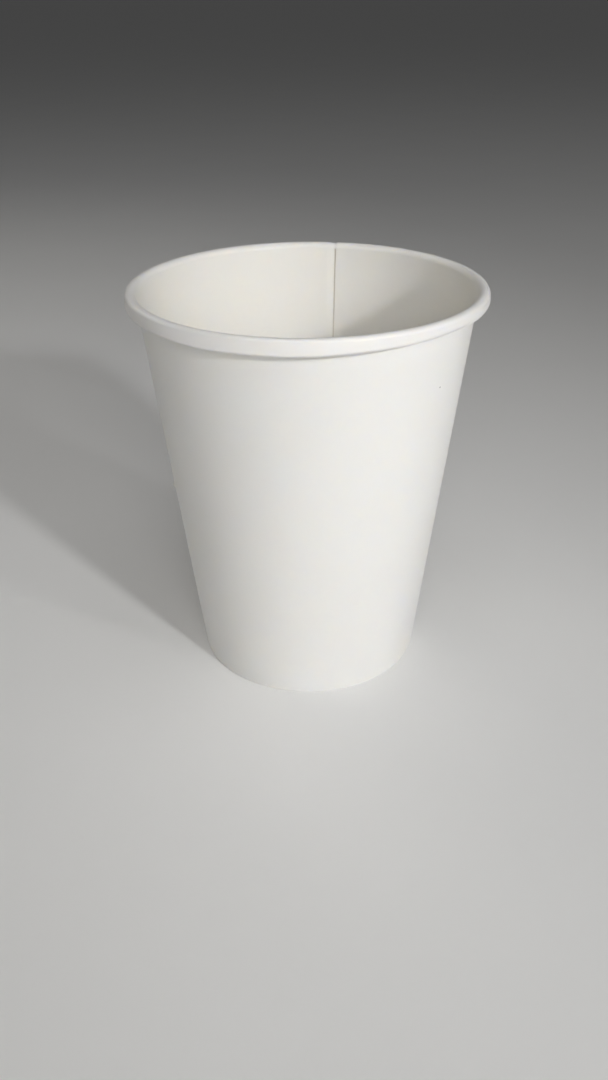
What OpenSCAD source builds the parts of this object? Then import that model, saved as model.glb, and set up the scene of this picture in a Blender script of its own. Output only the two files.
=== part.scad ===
// Paper coffee cup, standing on its foot with the lapped seam at the back (+Y).
// The sidewall is one blank: rolled outward at the rim, lapped and sealed at the seam,
// and folded in and up at the foot. The bottom is a second blank: a disc whose edge is
// turned down into a skirt, which the foot of the sidewall holds on both sides.

/* [Overall] */
// Height from the table to the top of the rim
cup_height = 93; // [70:1:120]
// Outer diameter across the rolled rim
rim_diameter = 80; // [72:1:95]
// Outer diameter of the sidewall where it meets the table
base_diameter = 55; // [46:1:62]

/* [Board] */
// Thickness of the sidewall board
wall_board = 0.3; // [0.2:0.02:0.4]
// Thickness of the bottom board
bottom_board = 0.28; // [0.2:0.02:0.4]
// Gap left for the film that seals one face to another
seal_film = 0.02; // [0.01:0.01:0.05]

/* [Rim] */
// Width across the rolled rim
roll_width = 3; // [2.6:0.1:4]
// Height of the rolled rim, along the sidewall
roll_height = 3.5; // [3.1:0.1:4.5]
// Gap between the tucked end of the roll and the sidewall
tuck_gap = 0.05; // [0.02:0.01:0.15]
// Angle that the end of the roll turns on inside it, past the lowest point
tuck_turn = 130; // [60:5:150]

/* [Seam] */
// Width of the lap, half way up the cup
lap_width = 7; // [4:0.5:12]
// Depth that the sealed lap is pressed together
lap_press = 0.05; // [0.02:0.01:0.1]
// Width over which the outer end climbs over the edge of the inner end
climb_width = 1.2; // [0.6:0.1:3]

/* [Base] */
// Depth of the recess under the bottom
recess_depth = 8; // [7:0.5:14]
// Length of the hem that is folded up inside the skirt
hem_length = 5.5; // [3:0.5:6]
// Inner radius of the folds at the foot
fold_radius = 0.05; // [0.03:0.01:0.08]
// Depth that the fold at the foot is pressed flat
foot_press = 0.06; // [0.04:0.01:0.1]
// Inner radius of the bend between the bottom and its skirt
corner_radius = 0.5; // [0.2:0.1:1]
// Gap between the end of the skirt and the fold below it
skirt_end_gap = 0.15; // [0.05:0.05:0.5]

/* [Hidden] */
$fn = 144;
arc_facets = 48;
board_white = [0.94, 0.94, 0.93];
inner_white = [0.93, 0.92, 0.9];

// Lengths in a section are whole microns, so that one run ends where the next begins
function micron(length) = round(length * 1000) / 1000;

// The roll turns about a centre that lies half its width in from the rim
roll_radius = micron(roll_width / 2);
roll_centre = [rim_diameter / 2 - roll_radius, cup_height - roll_radius];
board = micron(wall_board);

// The sidewall leans out by the angle at which its outer face, drawn from the foot's
// edge, passes the roll's centre at the distance that the board leaves
foot_to_roll = roll_centre - [base_diameter / 2, 0];
lean = 90 - atan2(foot_to_roll[1], foot_to_roll[0])
    - asin((roll_radius - board) / norm(foot_to_roll));

// The hem and the sidewall hold the skirt and its two seals between them
hem_gap = micron(bottom_board + 2 * seal_film);
fold_inside = micron(fold_radius);
fold_outside = fold_inside + board;
wall_run = micron(
    (roll_centre[1] + (roll_radius + fold_inside) * sin(lean) - fold_outside + foot_press)
    / cos(lean)
);

// A run of a section is [length, 0] if straight, or [radius, turn] if it is an arc. The
// runs follow the face on the drink's side, and a turn to the left is positive. They are
// drawn with the sidewall upright and the roll's centre at the origin
foot_start = [-roll_radius - hem_gap, micron(hem_length) - wall_run];
foot_runs = [
    [micron(hem_length), 0],
    [fold_inside, 90],
    [hem_gap - 2 * fold_inside, 0],
    [fold_inside, 90]
];
wall_start = [-roll_radius, -wall_run];
wall_runs = [
    [wall_run, 0],
    [roll_radius, -180],
    [micron(roll_height - roll_width), 0],
    [roll_radius, -90]
];
tuck_start = [0, -micron(roll_height - roll_width) - roll_radius];

// Two boards of the lap are this thick where they are pressed together
lap_boards = micron(2 * wall_board - lap_press);

// Turns about the axis are whole hundredths of a degree
function whole_turn(angle) = round(angle * 100) / 100;

// The seam's angles are counted round from the place where the outer end starts to climb,
// past the single board and the lap to the edge of the inner end, and down the steps of
// the climb
seam_angle = 90;
seam_radius = roll_centre[0] - roll_radius - wall_run / 2 * sin(lean);
function seam_turn(width) = whole_turn(width / seam_radius * 180 / PI);
climb_steps = 4;
climb_turn = seam_turn(climb_width / (climb_steps - 1));
shared_turn = whole_turn(climb_turn / 4);
inner_end = 360 - (climb_steps - 1) * climb_turn;
lap_start = inner_end - seam_turn(lap_width);
function climb_lift(step) = micron((lap_boards - board) * step / climb_steps);

// The bottom's skirt runs parallel to the sidewall, at the seal's distance
corner_inside = micron(corner_radius);
corner_outside = corner_inside + micron(bottom_board);
corner_height = recess_depth - corner_inside;
wall_face_at_corner = base_diameter / 2 + corner_height * tan(lean) - board / cos(lean);
corner_centre = [
    micron(wall_face_at_corner - (corner_outside + seal_film) / cos(lean)),
    corner_height
];
skirt_run = micron((corner_height - corner_outside * sin(lean) - board - skirt_end_gap) / cos(lean));

// Directions in a section: x points away from the cup's axis and y up
function heading(angle) = [cos(angle), sin(angle)];
function left_of(angle) = heading(angle + 90);

// Where a run ends that starts at a point with a heading
function run_end(start, angle, run) =
    run[1] == 0
        ? start + run[0] * heading(angle)
        : start + sign(run[1]) * run[0] * (left_of(angle) - left_of(angle + run[1]));

// A piece of a ring between two radii, from one angle round by a turn
module ring_sector(inner, outer, from, turn) {
    reach = 2 * outer;
    intersection() {
        difference() {
            circle(r = outer, $fn = arc_facets);
            circle(r = inner, $fn = arc_facets);
        }
        polygon(concat([[0, 0]], [for (i = [0:3]) reach * heading(from + turn * i / 3)]));
    }
}

// One run of a board, between two depths below the face on the drink's side
module run_section(start, angle, run, near, far) {
    down = -left_of(angle);
    if (run[1] == 0) {
        end = run_end(start, angle, run);
        polygon([start + near * down, start + far * down, end + far * down, end + near * down]);
    } else {
        side = sign(run[1]);
        radii = [run[0] + side * near, run[0] + side * far];
        translate(start - side * run[0] * down)
            ring_sector(min(radii), max(radii), angle - side * 90, run[1]);
    }
}

// The runs of a board, one after the other
module board_section(start, angle, runs, near, far, index = 0) {
    if (index < len(runs)) {
        run = runs[index];
        run_section(start, angle, run, near, far);
        board_section(run_end(start, angle, run), angle + run[1], runs, near, far, index + 1);
    }
}

// The sidewall's section where its wall and roll lie between two depths. The end of the
// roll, where there is one, turns up inside it clear of the boards it has to pass
module sidewall_section(near, far, passed = 0) {
    intersection() {
        translate(roll_centre)
            rotate(-lean)
                union() {
                    board_section(foot_start, 270, foot_runs, 0, board);
                    board_section(wall_start, 90, wall_runs, near, far);
                    if (passed > 0)
                        run_section(
                            tuck_start, 180,
                            [micron(roll_radius - passed - tuck_gap), -tuck_turn], 0, board
                        );
                }
        square([rim_diameter, 2 * cup_height]);
    }
}

// A section turned about the cup's axis, from one of the seam's angles to another
module sector(from, to) {
    rotate_extrude(angle = to - from, start = from)
        children();
}

// Two sectors are joined where they meet by the board that both of them have
module shared_sector(at) {
    sector(at - shared_turn, at + shared_turn)
        children();
}

// The outer end of the blank climbs in steps over the edge of the inner end
module climb() {
    for (step = [1:climb_steps - 1])
        sector(360 - step * climb_turn, 360 - (step - 1) * climb_turn)
            sidewall_section(climb_lift(step), climb_lift(step) + board);
    for (step = [1:climb_steps])
        shared_sector(360 - (step - 1) * climb_turn)
            sidewall_section(climb_lift(step), climb_lift(step - 1) + board);
}

module sidewall() {
    color(board_white)
        rotate([0, 0, seam_angle - inner_end])
            union() {
                sector(0, lap_start)
                    sidewall_section(0, board, board);
                shared_sector(lap_start)
                    sidewall_section(0, board);
                sector(lap_start, inner_end)
                    sidewall_section(0, lap_boards, lap_boards);
                climb();
            }
}

// The bend and the skirt are drawn with the skirt upright, then leant with the sidewall
module bottom() {
    color(inner_white)
        rotate_extrude() {
            translate([0, recess_depth])
                square([corner_centre[0], corner_outside - corner_inside]);
            translate(corner_centre) {
                ring_sector(corner_inside, corner_outside, 0, 90);
                rotate(-lean)
                    union() {
                        ring_sector(corner_inside, corner_outside, 0, 90);
                        translate([corner_inside, -skirt_run])
                            square([corner_outside - corner_inside, skirt_run]);
                    }
            }
        }
}

sidewall();
bottom();
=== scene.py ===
"""Looks of a white paper cup: its two blanks as fine sheets, their paper, floor, light and camera."""
import math

import bmesh
import bpy
import numpy as np
from mathutils import Matrix, Vector


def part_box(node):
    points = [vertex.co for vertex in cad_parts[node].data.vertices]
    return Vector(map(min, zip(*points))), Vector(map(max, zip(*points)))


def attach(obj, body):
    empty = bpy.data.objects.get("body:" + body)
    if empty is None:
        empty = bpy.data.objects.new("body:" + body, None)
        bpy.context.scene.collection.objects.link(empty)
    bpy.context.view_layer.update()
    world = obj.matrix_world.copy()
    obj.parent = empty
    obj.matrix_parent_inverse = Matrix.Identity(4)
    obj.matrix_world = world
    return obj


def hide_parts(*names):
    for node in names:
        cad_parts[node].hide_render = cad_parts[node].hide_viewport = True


MM = 0.001

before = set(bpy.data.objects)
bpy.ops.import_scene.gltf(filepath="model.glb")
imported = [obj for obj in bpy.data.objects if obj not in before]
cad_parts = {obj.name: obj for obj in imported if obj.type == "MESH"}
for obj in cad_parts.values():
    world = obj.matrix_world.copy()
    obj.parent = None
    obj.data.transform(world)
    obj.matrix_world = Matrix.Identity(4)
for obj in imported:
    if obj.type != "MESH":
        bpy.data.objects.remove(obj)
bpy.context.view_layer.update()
wall_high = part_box("sidewall")[1]
disc_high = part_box("bottom")[1]

# Overall sizes in millimetres, from the frame
cup_height = wall_high.z / MM
rim_radius = wall_high.x / MM
bottom_top = disc_high.z / MM

# The two blanks as they are folded and rolled: lengths in millimetres, turns and slopes in degrees
base_radius = 27.5
board = 0.3
bottom_board = 0.28
seal_film = 0.02
lip_radius = 1.5
lip_turn = 100.0
crease_radius = 0.7
flat_slope = 16.0
flat_length = 2.02
low_radius = 0.6
tuck_gap = 0.05
tuck_turn = 130.0
hem_length = 5.5
fold_radius = 0.05
foot_press = 0.06
corner_radius = 0.5
skirt_end_gap = 0.15

# Where the roll is round, its crease and lower bend are this much larger and its face slopes by this
rounder_radii = 0.5
rounder_slope = 11.0

# The lapped seam: the outer end lies on the inner end and falls beside its edge, where a strip of the
# wall is darker: it stands for the raw board there and is painted shade of the step at that edge. The
# inner end becomes thin over press_turn degrees before the outer end's edge, and the tuck in the roll
# turns tighter over a width of tuck_blend
seam_angle = 90.0
lap_width = 7.0
lap_boards = 0.55
lap_film = 0.01
press_turn = 0.5
fall_width = 2.4
bare_shade_width = 0.3
tuck_blend = 2.0

# How far the roll's lower edge hangs down, in millimetres, at angles about the axis, and how round
# the roll is there, from 0 to 1. Both are smoothed over a blur in degrees
roll_droop = [
    (-180, 0.0), (-125, 0.05), (-116, 0.2), (-107, 0.3), (-98, 0.13), (-92, 0.13),
    (-86, 0.18), (-74, 0.15), (-68, 0.04), (-62, -0.05), (-50, -0.12), (-44, -0.25),
    (-32, -0.45), (-20, -0.25), (0, -0.05), (60, 0.1), (120, -0.1),
]
droop_blur = 2.0
roll_roundness = [(-150, 0.6), (-115, 0.0), (-75, 0.0), (-30, 0.8), (10, 1.0), (90, 0.6)]
roundness_blur = 10.0

# Waves round the cup: a count, a phase in radians and a height in millimetres. Those of the wall
# fall to a share at the foot, and those of the roll fade out below it
wall_waves = [(2, 0.7, 0.05), (3, 2.1, 0.05), (5, 4.0, 0.03)]
foot_share = 0.15
roll_waves = [(17, 0.4, 0.012), (23, 1.9, 0.015), (31, 5.2, 0.012)]
roll_fade = 3.0
knurl_count = 120
knurl_depth = 0.05

# The bottom sags, and its outer part has pleats from a share of the way out
disc_sag = 0.12
disc_waves = [(2, 1.0, 0.03), (5, 0.0, 0.02)]
pleat_count = 72
pleat_depth = 0.02
pleat_start = 0.8

# The nick on the wall and the dark speck, in millimetres and degrees about the axis
nick_angle = -157.2
nick_height = 46.5
nick_bulge = 0.45
nick_spread = 0.55
speck_angle = -28.6
speck_height = 77.25
speck_size = 0.26
speck_ragged = 0.2
speck_ragged_size = 0.15
speck_colour = (0.12, 0.11, 0.1)

# Paper: sizes of its features in millimetres, and how much each of them counts. Light glows
# through it to glow_depth, of which red, green and blue reach the shares in glow_reach
cloud_size = 9.0
cloud_share = 0.55
fleck_size = 0.9
fleck_share = 0.45
fibre_size = 0.25
fibre_share = 0.7
fibre_stretch = (1.0, 1.0, 0.22)
fine_size = 0.06
fine_share = 0.3
roughness_range = 0.12
specular_level = 0.4
glow_depth = 0.45
glow_reach = (1.0, 0.9, 0.7)
coat_roughness = 0.3

# The roll's whiter tone, a painted lit tone for the roll that the lamps light directly, starts and is
# full at these distances in from the rim, in millimetres
lit_roll_start = 2.8
lit_roll_full = 1.8

# Floor: radius in metres, size of its clouds in millimetres, two close tones
floor_radius = 30.0
floor_clouds = 60.0
floor_deep = (0.84, 0.84, 0.835)
floor_pale = (0.87, 0.87, 0.865)
floor_roughness = 0.6

# Camera of the photograph: image of 608 x 1080 pixels, fitted to the cup's outline
image_width = 608
image_height = 1080
focal_pixels = 941.4
sensor_long_side = 36.0
camera_distance = 231.9
camera_elevation = 26.18
camera_turn = 11.6
camera_roll = 0.4
middle_pixel = (308.2, 471.9)

# Fineness of the meshes. Stations are steps along a run of a section
HEM_STATIONS = 7
FOLD_STATIONS = 4
EVEN_STATIONS = 10
LIP_STATIONS = 14
CREASE_STATIONS = 7
FLAT_STATIONS = 2
LOW_STATIONS = 9
TUCK_STATIONS = 9
DISC_STATIONS = 14
DISC_CROWDING = 0.8
BEND_STATIONS = 10
SKIRT_STATIONS = 4
LAP_COLUMNS = 14
KNURL_COLUMNS = 5
BOTTOM_COLUMNS = 360
FLOOR_SIDES = 64

# Close stations up the wall: some by the nick, in spreads from its middle, where no even ones come
# near, and one each by the foot and the roll, in millimetres from them
NICK_STATIONS = [-4, -2.2, -1.2, -0.5, 0.2, 0.9, 1.8, 4]
NICK_CLEARANCE = 5.0
FIRST_STATION = 0.7
LAST_STATION = 1.5

# Close columns beside the inner end's edge, as shares of the fall, and the gap to the even ones
FALL_COLUMNS = [0.01, 0.05, 0.1, 0.15, 0.22, 0.3, 0.4, 0.5, 0.6, 0.7, 0.8, 0.9, 1.0, 1.2]
FALL_GAP = 0.3

# Rounds in which the lean and the roll's place settle, and points that a blur takes the mean of
LEAN_ROUNDS = 5
BLUR_POINTS = 5

# Angles in degrees and points in metres that are closer than this are the same. Faces that meet at
# more than the crisp angle, in degrees, have a crisp edge
SAME_ANGLE = 1e-6
SAME_POINT = 1e-8
CRISP_ANGLE = 60

# Materials of a sheet's faces: on the drink's side, on the other side, and on bare board, which beside
# the seam's edge is also painted shade
NEAR_FACE = 0
FAR_FACE = 1
CUT_AND_SHADE_FACE = 2


def smooth(low, high, value):
    """Rises smoothly from 0 at low to 1 at high."""
    share = np.clip((value - low) / (high - low), 0, 1)
    return share * share * (3 - 2 * share)


def waves(table, turn):
    """Sum of a table's waves at turns in radians."""
    return sum(size * np.sin(count * turn + phase) for count, phase, size in table)


def direction(azimuth, elevation):
    """Unit vector towards an azimuth and an elevation in degrees."""
    turn = math.radians(azimuth)
    rise = math.radians(elevation)
    return np.array([math.cos(turn) * math.cos(rise), math.sin(turn) * math.cos(rise), math.sin(rise)])


# Sections: points are complex numbers, out from the axis and up, in millimetres

# The roll bends over a lip and a crease to a flat outer face, and in below it. It is set so that the
# widest point of the lower bend lies on the rim's radius
crease_centre = (lip_radius - crease_radius) * np.exp(1j * math.radians(180 - lip_turn))
down_the_flat = complex(crease_radius - low_radius, -flat_length)
low_centre = crease_centre + down_the_flat * np.exp(1j * math.radians(flat_slope))
lean = 0.0
for _ in range(LEAN_ROUNDS):
    low_offset = low_centre * np.exp(-1j * lean)
    roll_centre = complex(rim_radius - low_radius - low_offset.real, cup_height - lip_radius)
    foot_to_roll = roll_centre - base_radius
    lean = math.pi / 2 - np.angle(foot_to_roll) - math.asin((lip_radius - board) / abs(foot_to_roll))
roll_height = lip_radius + low_radius - low_centre.imag
hem_gap = bottom_board + 2 * seal_film
wall_run = ((cup_height - lip_radius + (lip_radius + fold_radius) * math.sin(lean)
             - fold_radius - board + foot_press) / math.cos(lean))


def along(start, heading, runs):
    """Points and headings along runs, each of a length or radius, a turn in degrees and its stations."""
    points, headings = [np.array([start])], [np.array([heading])]
    for size, turn, stations in runs:
        share = np.linspace(0, 1, stations + 1)[1:] if np.isscalar(stations) else stations
        if turn:
            side = math.copysign(1, turn)
            angles = heading + math.radians(turn) * share
            left = 1j * np.exp(1j * heading)
            step = side * size * (left - 1j * np.exp(1j * angles))
        else:
            angles = np.full(len(share), heading)
            step = size * share * np.exp(1j * heading)
        points.append(start + step)
        headings.append(angles)
        start = points[-1][-1]
        heading = angles[-1]
    return np.concatenate(points), np.concatenate(headings)


def wall_stations():
    """Stations up the wall, as shares of its run: even ones, and close ones by the nick and the ends."""
    even = np.linspace(0, wall_run, EVEN_STATIONS + 1)
    clear = even[np.abs(even - nick_height) > NICK_CLEARANCE]
    close = nick_height + nick_spread * np.array(NICK_STATIONS)
    ends = np.array([FIRST_STATION, wall_run - LAST_STATION])
    return np.unique(np.concatenate([clear, close, ends]))[1:] / wall_run


WALL_STATIONS = wall_stations()
FOOT_ROWS = HEM_STATIONS + 2 * FOLD_STATIONS + 1
ROLL_ROW = FOOT_ROWS + len(WALL_STATIONS)


def roll_runs(droop, roundness):
    """The roll's runs from the lip to its lowest point, and how far out that point lies."""
    crease = crease_radius + rounder_radii * roundness
    low = low_radius + rounder_radii * roundness
    slope = math.radians(flat_slope + (rounder_slope - flat_slope) * roundness)
    to_crease = (lip_radius - crease) * np.exp(1j * math.radians(180 - lip_turn))
    bend = to_crease + (crease - low) * np.exp(1j * slope)
    flat = (bend.imag + roll_height + droop - lip_radius - low) / math.cos(slope)
    runs = [
        (lip_radius, -lip_turn, LIP_STATIONS),
        (crease, math.degrees(slope) + lip_turn - 180, CREASE_STATIONS),
        (flat, 0, FLAT_STATIONS),
        (low, -90 - math.degrees(slope), LOW_STATIONS),
    ]
    return runs, bend.real + flat * math.sin(slope)


def sidewall_line(droop, roundness, passed):
    """The face on the drink's side, upright, with the lip's centre at the origin."""
    foot = complex(-lip_radius - hem_gap, hem_length - wall_run)
    rolled, inward = roll_runs(droop, roundness)
    return along(foot, -math.pi / 2, [
        (hem_length, 0, HEM_STATIONS),
        (fold_radius, 90, FOLD_STATIONS),
        (hem_gap - 2 * fold_radius, 0, 1),
        (fold_radius, 90, FOLD_STATIONS),
        (wall_run, 0, WALL_STATIONS),
        *rolled,
        (inward, 0, 1),
        (lip_radius - passed - tuck_gap, -tuck_turn, TUCK_STATIONS),
    ])


# The blank round the cup, in degrees from the inner end's edge at 0 backwards. It comes round to
# that edge again after a whole turn, and ends with the outer end's edge

edge_again = -360
seam_radius = roll_centre.real - lip_radius - wall_run / 2 * math.sin(lean)


def turn_of(width):
    """Degrees round the axis that a width takes, half way up the cup."""
    return math.degrees(width / seam_radius)


lap_turn = turn_of(lap_width)
fall_turn = turn_of(fall_width)
bare_shade_turn = turn_of(bare_shade_width)
tuck_turns = turn_of(tuck_blend)
column_step = 360 / knurl_count / KNURL_COLUMNS


def blank_columns():
    """Angles of the columns, close together where the outer end falls beside the inner end's edge."""
    lap = np.linspace(edge_again - lap_turn, edge_again, LAP_COLUMNS)
    fall = edge_again + fall_turn * np.array(FALL_COLUMNS)
    first = column_step * math.ceil((fall[-1] + FALL_GAP) / column_step)
    rest = np.arange(first, -column_step / 2, column_step)
    rest = rest[np.abs(rest + lap_turn) > press_turn]
    lap_edge = -lap_turn + press_turn * np.array([-0.5, 0.0, 0.5])
    return np.unique(np.concatenate([lap, fall, rest, lap_edge, [0.0]]))


def fallen(columns, fall):
    """1 where the outer end lies on the inner end, and 0 past a fall in degrees beside its edge."""
    return 1 - smooth(edge_again, edge_again + fall, columns)


def lapped(columns, fall, rise):
    """1 where two boards lie on each other and 0 where there is one, past a fall or before a rise."""
    return np.maximum(fallen(columns, fall), smooth(-lap_turn - rise, -lap_turn, columns))


def round_the_rim(table, degrees, blur):
    """Values from a table of angles and values, smoothed over a blur in degrees."""
    angles, values = zip(*table)
    spread = degrees[:, None] + blur * np.linspace(-1, 1, BLUR_POINTS)
    return np.interp(spread, angles, values, period=360).mean(axis=1)


def sidewall_faces():
    """Points of the drink's side and of the outside, by row of the section and column of the blank."""
    columns = blank_columns()
    degrees = columns + seam_angle
    lap_board = (lap_boards - lap_film) / 2
    thick = board + (lap_board - board) * lapped(columns, fall_turn, press_turn)
    passed = board + (lap_boards - board) * lapped(columns, tuck_turns, tuck_turns)
    lift = (lap_boards - lap_board) * fallen(columns, fall_turn)
    cover = (lap_boards - thick) * fallen(columns, fall_turn)
    past_edge = columns > edge_again
    droop = round_the_rim(roll_droop, degrees, droop_blur)
    roundness = round_the_rim(roll_roundness, degrees, roundness_blur)
    near, far = [], []
    for index in range(len(columns)):
        points, headings = sidewall_line(droop[index], roundness[index], passed[index])
        right = -1j * np.exp(1j * headings)
        above = np.arange(len(points)) > FOOT_ROWS
        raised = np.where(above, lift[index], 0.0)
        depth = thick[index] + np.where(above & past_edge[index], cover[index], raised)
        near.append(points + raised * right)
        far.append(points + depth * right)
    leant = np.exp(-1j * lean)
    near = np.array(near).T * leant + roll_centre
    far = np.array(far).T * leant + roll_centre
    return columns, degrees, near, far


def uneven(points, degrees, is_outside):
    """Adds the cup's waves, the nick and the knurl, and presses the foot flat."""
    height = points.imag / cup_height
    turn = np.radians(degrees)[None, :]
    out = waves(wall_waves, turn) * (foot_share + (1 - foot_share) * height)
    roll_foot = cup_height - roll_height
    out = out + waves(roll_waves, turn) * smooth(roll_foot - roll_fade, roll_foot, points.imag)
    if is_outside:
        row = np.arange(len(points))[:, None]
        along_turn = np.radians((degrees - nick_angle + 180) % 360 - 180)[None, :] * points.real
        away = np.hypot(along_turn / nick_spread, (points.imag - nick_height) / nick_spread)
        on_wall = (row > FOOT_ROWS) & (row < ROLL_ROW)
        out = out + nick_bulge * np.exp(-away ** 2) * on_wall
        on_hem = (row < HEM_STATIONS) & (row > 0)
        out = out - knurl_depth * np.cos(knurl_count * turn) * on_hem
    moved = points + out
    return moved.real + 1j * np.maximum(moved.imag, 0.0)


def bottom_faces():
    """Points of the bottom's two faces, from its middle over the bend and down the skirt."""
    bend = corner_radius + bottom_board
    bend_height = bottom_top - bend
    wall_face = base_radius + bend_height * math.tan(lean) - board / math.cos(lean)
    bend_at = wall_face - (bend + seal_film) / math.cos(lean)
    skirt = (bend_height - bend * math.sin(lean) - board - skirt_end_gap) / math.cos(lean)
    disc = np.linspace(0, 1, DISC_STATIONS + 1)[1:] ** DISC_CROWDING
    points, headings = along(complex(0, bottom_top), 0.0, [
        (bend_at, 0, disc),
        (bend, -90 - math.degrees(lean), BEND_STATIONS),
        (skirt, 0, SKIRT_STATIONS),
    ])
    right = -1j * np.exp(1j * headings)
    degrees = np.linspace(-180, 180, BOTTOM_COLUMNS + 1)
    near = np.repeat(points[:, None], len(degrees), axis=1)
    far = np.repeat((points + bottom_board * right)[:, None], len(degrees), axis=1)
    turn = np.radians(degrees)[None, :]
    out = points.real[:, None] / bend_at
    sag = disc_sag * (out ** 2 - 1)
    for count, phase, size in disc_waves:
        sag = sag + size * out * np.sin(count * turn + phase)
    pleat = pleat_depth * smooth(pleat_start, 1.0, out) * np.sin(pleat_count * turn)
    on_disc = (np.arange(len(points)) <= DISC_STATIONS)[:, None]
    shift = 1j * (sag + pleat) * on_disc
    return degrees, near + shift, far + shift


# Meshes

def add_object(name, data):
    """An object in the scene that shows a mesh, a lamp or a camera."""
    added = bpy.data.objects.new(name, data)
    bpy.context.scene.collection.objects.link(added)
    return added


def ring_points(grid, degrees):
    """Points in metres from a grid of section points, whose columns stand at angles about the axis."""
    turn = np.radians(degrees)[None, :]
    points = np.stack([grid.real * np.cos(turn), grid.real * np.sin(turn), grid.imag], axis=-1)
    return points.reshape(-1, 3) * MM


def solid_sheet(name, near, far, degrees, used, bare_shade, materials):
    """A closed sheet between two grids of points, with the cells that are used.

    Bare cells take the raw board's darker material, which on the sidewall is also painted shade beside
    the seam's edge. Columns that go just once round are joined to a ring.
    """
    rows, count = near.shape
    back = rows * count
    ids = np.arange(back).reshape(rows, count)
    if degrees[-1] - degrees[0] == 360:
        ids[:, -1] = ids[:, 0]
    cells = np.stack([ids[:-1, :-1], ids[1:, :-1], ids[1:, 1:], ids[:-1, 1:]], axis=-1)[used]
    edges = np.concatenate([cells[:, [side, (side + 1) % 4]] for side in range(4)])
    keys = edges.min(axis=1) * back + edges.max(axis=1)
    _, where, uses = np.unique(keys, return_index=True, return_counts=True)
    rim = edges[where[uses == 1]]
    sides = np.stack([rim[:, 1], rim[:, 0], rim[:, 0] + back, rim[:, 1] + back], axis=-1)
    # Bare cells get the raw board's material, on the sidewall also painted shade of the seam's step
    kinds = np.concatenate([
        np.where(bare_shade[used], CUT_AND_SHADE_FACE, NEAR_FACE),
        np.full(len(cells), FAR_FACE),
        np.full(len(sides), CUT_AND_SHADE_FACE),
    ])
    faces = np.concatenate([cells, cells[:, ::-1] + back, sides])
    kept, faces = np.unique(faces, return_inverse=True)
    faces = faces.reshape(-1, 4)
    vertices = np.concatenate([ring_points(near, degrees), ring_points(far, degrees)])[kept]
    corners = vertices[faces]
    crossed = np.cross(corners[:, 2] - corners[:, 0], corners[:, 3] - corners[:, 1])
    if (corners.mean(axis=1) * crossed).sum() < 0:
        faces = faces[:, ::-1]
    mesh = bpy.data.meshes.new(name)
    mesh.from_pydata(vertices.tolist(), [], faces.tolist())
    for material in materials:
        mesh.materials.append(material)
    mesh.polygons.foreach_set("material_index", kinds)
    mesh.polygons.foreach_set("use_smooth", np.ones(len(faces), bool))
    return add_object(name, mesh)


def sharpen(piece):
    """Merges points that are one, and keeps edges crisp at a sharp angle or a change of material."""
    work = bmesh.new()
    work.from_mesh(piece.data)
    bmesh.ops.remove_doubles(work, verts=work.verts, dist=SAME_POINT)
    bmesh.ops.dissolve_degenerate(work, edges=work.edges, dist=SAME_POINT)
    for edge in work.edges:
        kinds = {face.material_index for face in edge.link_faces}
        edge.smooth = len(kinds) == 1 and edge.calc_face_angle(0.0) < math.radians(CRISP_ANGLE)
    work.to_mesh(piece.data)
    work.free()


# Materials

class Nodes:
    """A short way to add and link the nodes of one material."""

    def __init__(self, name):
        self.material = bpy.data.materials.new(name)
        self.material.use_nodes = True
        self.tree = self.material.node_tree
        self.shader = self.tree.nodes["Principled BSDF"]

    def feed(self, node, inputs):
        """Links a node's inputs to sockets, or sets them to values."""
        for socket, value in inputs.items():
            if isinstance(value, bpy.types.NodeSocket):
                self.tree.links.new(value, node.inputs[socket])
            else:
                node.inputs[socket].default_value = value

    def add(self, kind, inputs=None, **settings):
        """A new node of a kind, with its settings and inputs."""
        node = self.tree.nodes.new(kind)
        for key, value in settings.items():
            setattr(node, key, value)
        self.feed(node, inputs or {})
        return node

    def place(self):
        """The place on the object."""
        return self.add("ShaderNodeTexCoord").outputs["Object"]

    def noise(self, vector, size, detail=2.0):
        """A noise whose features are about a size across, in millimetres."""
        inputs = {"Vector": vector, "Scale": 1 / (size * MM), "Detail": detail}
        return self.add("ShaderNodeTexNoise", inputs).outputs["Fac"]

    def maths(self, operation, first, second, third=0.0):
        """An operation on two or three numbers."""
        inputs = {0: first, 1: second, 2: third}
        return self.add("ShaderNodeMath", inputs, operation=operation).outputs[0]

    def blend(self, factor, first, second):
        """A colour from the first to the second, whose sockets in the node are 6 and 7."""
        inputs = {0: factor, 6: first, 7: second}
        return self.add("ShaderNodeMix", inputs, data_type="RGBA").outputs[2]


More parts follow.
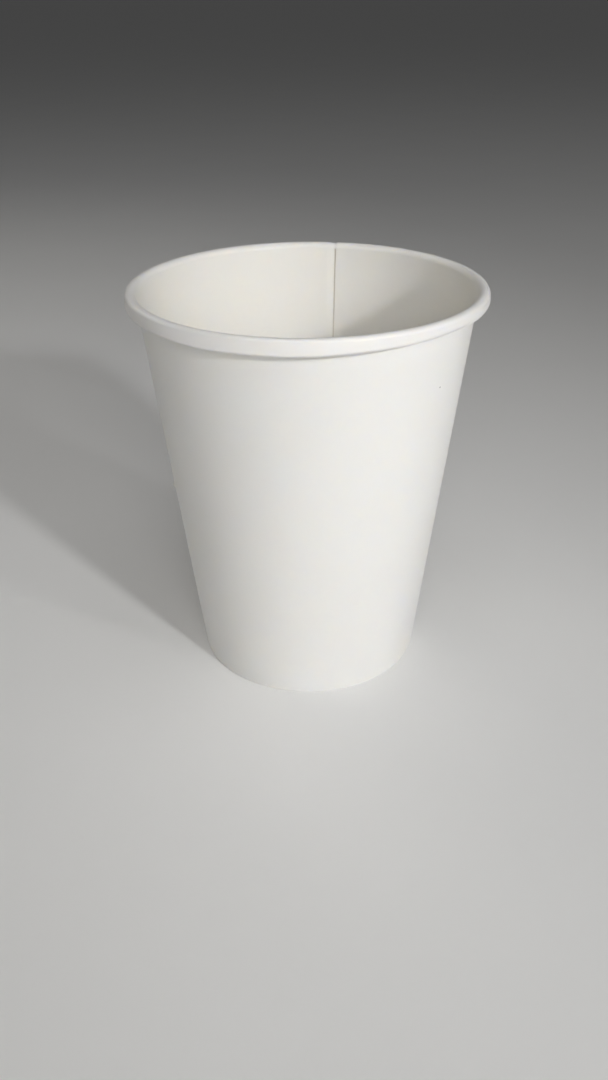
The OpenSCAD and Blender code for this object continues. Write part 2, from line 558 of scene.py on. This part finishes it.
def paper(name, pale, deep, roughness, grain, glow, coat=0.0, rolled=None, speck=None):
    """Bleached board: two close tones in soft clouds, short fibres, a fine grain and some glow.

    The grain is its depth in millimetres. Rolled is a whiter colour beyond the lip, a painted lit tone
    for the directly lit roll, and speck the place of the dark speck.
    """
    nodes = Nodes(name)
    place = nodes.place()
    clouds = nodes.noise(place, cloud_size, detail=3.0)
    flecks = nodes.noise(place, fleck_size, detail=4.0)
    tone = nodes.maths("MULTIPLY_ADD", flecks, fleck_share, nodes.maths("MULTIPLY", clouds, cloud_share))
    colour = nodes.blend(tone, (*deep, 1), (*pale, 1))
    # Painted lit tone: beyond the lip the colour turns whiter, for the roll that the lamps light
    # directly
    if rolled:
        level = nodes.add("ShaderNodeVectorMath", {0: place, 1: (1, 1, 0)}, operation="MULTIPLY")
        from_axis = nodes.add("ShaderNodeVectorMath", {0: level.outputs[0]}, operation="LENGTH")
        beyond_lip = nodes.add("ShaderNodeMapRange", {
            "Value": from_axis.outputs["Value"],
            "From Min": (rim_radius - lit_roll_start) * MM,
            "From Max": (rim_radius - lit_roll_full) * MM,
        })
        colour = nodes.blend(beyond_lip.outputs["Result"], colour, (*rolled, 1))
    if speck:
        away = nodes.add("ShaderNodeVectorMath", {0: place, 1: speck}, operation="DISTANCE")
        ragged = nodes.noise(place, speck_ragged_size)
        reach = nodes.maths("MULTIPLY_ADD", ragged, speck_ragged * MM, away.outputs["Value"])
        inside = nodes.maths("LESS_THAN", reach, speck_size * MM)
        colour = nodes.blend(inside, colour, (*speck_colour, 1))
    stretched = nodes.add("ShaderNodeMapping", {"Vector": place, "Scale": fibre_stretch}).outputs[0]
    fibres = nodes.noise(stretched, fibre_size, detail=3.0)
    fine = nodes.noise(place, fine_size)
    relief = nodes.maths("MULTIPLY_ADD", fibres, fibre_share, nodes.maths("MULTIPLY", fine, fine_share))
    bump = nodes.add("ShaderNodeBump", {"Height": relief, "Strength": 1.0, "Distance": grain * MM})
    smoothest = roughness - roughness_range / 2
    nodes.feed(nodes.shader, {
        "Base Color": colour,
        "Normal": bump.outputs[0],
        "Roughness": nodes.maths("MULTIPLY_ADD", flecks, roughness_range, smoothest),
        "Specular IOR Level": specular_level,
        "Subsurface Weight": glow,
        "Subsurface Radius": glow_reach,
        "Subsurface Scale": glow_depth * MM,
        "Coat Weight": coat,
        "Coat Roughness": coat_roughness,
    })
    return nodes.material


def place_of_speck():
    """The speck's place on the outside, in metres."""
    radius = base_radius + speck_height * math.tan(lean)
    turn = math.radians(speck_angle)
    return Vector((radius * math.cos(turn), radius * math.sin(turn), speck_height)) * MM


# The film side turns whiter on the roll: a painted lit tone for the directly lit roll
film_side = paper(
    "film_side", pale=(0.925, 0.906, 0.862), deep=(0.902, 0.88, 0.828),
    roughness=0.46, grain=0.006, glow=0.35, coat=0.08, rolled=(0.888, 0.873, 0.85),
)
outer_side = paper(
    "outer_side", pale=(0.886, 0.879, 0.857), deep=(0.863, 0.854, 0.827),
    roughness=0.62, grain=0.01, glow=0.35, speck=place_of_speck(),
)
# Raw board at cut edges; the same darker tone paints the shade in the strip beside the seam's edge
cut_edge_and_shade = paper(
    "cut_edge_and_shade", pale=(0.82, 0.79, 0.73), deep=(0.72, 0.68, 0.6),
    roughness=0.85, grain=0.03, glow=0.2,
)
under_side = paper(
    "under_side", pale=(0.875, 0.868, 0.85), deep=(0.84, 0.83, 0.8),
    roughness=0.72, grain=0.012, glow=0.35,
)

# The sidewall, one blank from its hem to the end of its roll. Its outer end stops above the foot

columns, degrees, near, far = sidewall_faces()
near = uneven(near, degrees, is_outside=False)
far = uneven(far, degrees, is_outside=True)
row = np.arange(len(near) - 1)[:, None]
above_foot = row > FOOT_ROWS
past_lap = columns[:-1] > edge_again + SAME_ANGLE
# The strip beside the inner end's edge gets the raw board's darker tone, as painted shade of the step
# there
beside_edge = (columns[:-1] > edge_again - SAME_ANGLE) & (columns[:-1] < edge_again + bare_shade_turn)
sidewall = solid_sheet(
    "sidewall_sheet", near, far, degrees, used=above_foot | past_lap,
    bare_shade=above_foot & (row < ROLL_ROW) & beside_edge, materials=[film_side, outer_side, cut_edge_and_shade],
)
sharpen(sidewall)
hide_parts("sidewall")
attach(sidewall, "root")

# The bottom, one round blank with its skirt

degrees, near, far = bottom_faces()
all_cells = np.ones((len(near) - 1, len(degrees) - 1), bool)
bottom = solid_sheet(
    "bottom_disc", near, far, degrees, used=all_cells,
    bare_shade=~all_cells, materials=[film_side, under_side, cut_edge_and_shade],
)
sharpen(bottom)
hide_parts("bottom")
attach(bottom, "root")


# Floor, light and camera

cup_middle = Vector((0, 0, cup_height / 2 * MM))


def pale_floor():
    """A wide plain floor at the height of the foot."""
    nodes = Nodes("floor")
    clouds = nodes.noise(nodes.place(), floor_clouds, detail=3.0)
    nodes.feed(nodes.shader, {
        "Base Color": nodes.blend(clouds, (*floor_deep, 1), (*floor_pale, 1)),
        "Roughness": floor_roughness,
    })
    mesh = bpy.data.meshes.new("floor")
    turns = np.linspace(0, 2 * math.pi, FLOOR_SIDES + 1)[:-1]
    ring = [(floor_radius * math.cos(turn), floor_radius * math.sin(turn), 0) for turn in turns]
    mesh.from_pydata(ring, [], [list(range(FLOOR_SIDES))])
    mesh.materials.append(nodes.material)
    floor = add_object("floor", mesh)


def soft_lamp(name, azimuth, elevation, distance, size, beam, level, tint=(1.0, 1.0, 1.0)):
    """A round lamp aimed at the middle of the cup, whose beam lights a white surface to a level.

    Its distance and size are in metres, and its beam is in degrees.
    """
    lamp = bpy.data.lights.new(name, "AREA")
    lamp.shape = "DISK"
    lamp.size = size
    lamp.color = tint
    half_beam = math.radians(beam) / 2
    lamp.spread = 2 * half_beam
    lamp.energy = level * (math.pi * distance) ** 2 * (1 - half_beam / math.tan(half_beam))
    holder = add_object(name, lamp)
    holder.location = cup_middle + Vector(distance * direction(azimuth, elevation))
    holder.rotation_euler = (cup_middle - holder.location).to_track_quat("-Z", "Y").to_euler()
    holder.visible_camera = False


def daylight(level, backdrop):
    """Even light from all round, and the plain tone that the camera sees behind the floor."""
    world = bpy.data.worlds.new("studio")
    world.use_nodes = True
    tree = world.node_tree
    tree.nodes.clear()
    output = tree.nodes.new("ShaderNodeOutputWorld")
    mix = tree.nodes.new("ShaderNodeMixShader")
    path = tree.nodes.new("ShaderNodeLightPath")
    for socket, tone in enumerate((level, backdrop), start=1):
        light = tree.nodes.new("ShaderNodeBackground")
        light.inputs["Color"].default_value = (tone, tone, tone, 1)
        tree.links.new(light.outputs[0], mix.inputs[socket])
    tree.links.new(path.outputs["Is Camera Ray"], mix.inputs[0])
    tree.links.new(mix.outputs[0], output.inputs["Surface"])
    bpy.context.scene.world = world


def photo_camera():
    """The photograph's camera: the cup's middle falls on its pixel, and the picture is rolled."""
    toward = Vector(direction(camera_turn - 90, camera_elevation))
    forward = -toward
    right = forward.cross(Vector((0, 0, 1))).normalized()
    up = right.cross(forward)
    rolled = Matrix.Rotation(math.radians(camera_roll), 3, "Z") @ Matrix((right, up, forward))
    aim = Vector(((middle_pixel[0] - image_width / 2) / focal_pixels,
                  (image_height / 2 - middle_pixel[1]) / focal_pixels, 1)).normalized()
    swing = Vector((0, 0, 1)).rotation_difference(aim).to_matrix()
    right, up, forward = swing @ rolled
    lens = bpy.data.cameras.new("camera")
    lens.sensor_width = sensor_long_side
    lens.lens = focal_pixels * sensor_long_side / image_height
    lens.clip_start = 0.01
    lens.clip_end = 100
    camera = add_object("camera", lens)
    basis = Matrix((right, up, -forward)).transposed().to_4x4()
    camera.matrix_world = Matrix.Translation(cup_middle + toward * camera_distance * MM) @ basis
    bpy.context.scene.camera = camera


pale_floor()
soft_lamp("key", azimuth=-42, elevation=25.5, distance=0.8, size=0.06, beam=40, level=0.43)
soft_lamp("second_key", azimuth=-26, elevation=26, distance=0.8, size=0.06, beam=40, level=0.1)
soft_lamp("front", azimuth=-75, elevation=25, distance=1.0, size=0.6, beam=180, level=0.33,
          tint=(1.0, 0.985, 0.95))
soft_lamp("overhead", azimuth=-60, elevation=75, distance=1.0, size=0.8, beam=180, level=0.155)
soft_lamp("back", azimuth=148, elevation=28, distance=1.0, size=0.6, beam=60, level=0.19,
          tint=(1.0, 0.96, 0.9))
daylight(level=0.065, backdrop=0.03)
photo_camera()
bpy.context.scene.view_settings.view_transform = "Standard"
